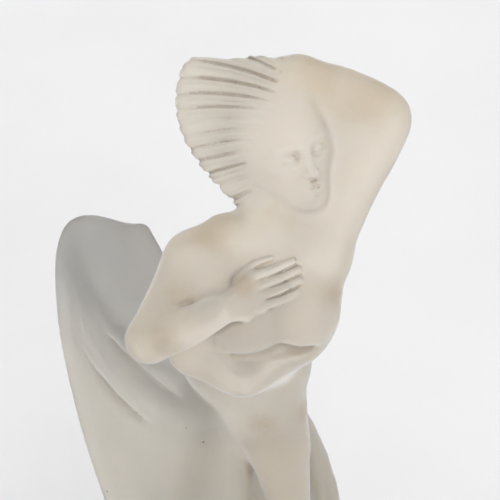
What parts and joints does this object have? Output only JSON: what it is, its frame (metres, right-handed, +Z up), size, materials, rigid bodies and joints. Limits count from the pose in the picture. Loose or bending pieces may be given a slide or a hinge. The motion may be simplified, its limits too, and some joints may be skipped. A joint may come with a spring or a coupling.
{
  "type": "hood ornament",
  "caption": "Frosted glass figurine with blown hair and drapery, clamped by its round foot in a plated cup on a screw-on radiator cap.",
  "frame": {"origin": "on the axis of the cap's thread, on the cap's lower rim that faces the filler neck", "axes": "+Z up along the thread's axis to the figure, -Y the way the figure faces, +X the figure's left"},
  "size_m": [0.0765, 0.0721, 0.2021],
  "materials": {
    "frosted_glass": "satin frosted, warm grey",
    "plated": "polished nickel-chrome plate",
    "brass": "machined",
    "steel": "zinc-bright",
    "rubber": "matt",
    "cork": "granulated cork",
    "fibre": "vulcanised fibre sheet"
  },
  "bodies": {
    "root": {"glass_figure": "frosted_glass", "flange_gasket": "rubber", "seat_gasket": "cork", "collar_half_front": "plated", "collar_half_rear": "plated", "collar_screws": "steel", "mount_cup": "plated", "mount_gasket": "fibre", "mounting_bolt": "steel", "bolt_washer": "steel", "spring_washer": "steel", "cap_shell": "plated", "cap_thread_ring": "brass", "filler_seal": "cork"}
  },
  "joints": []
}
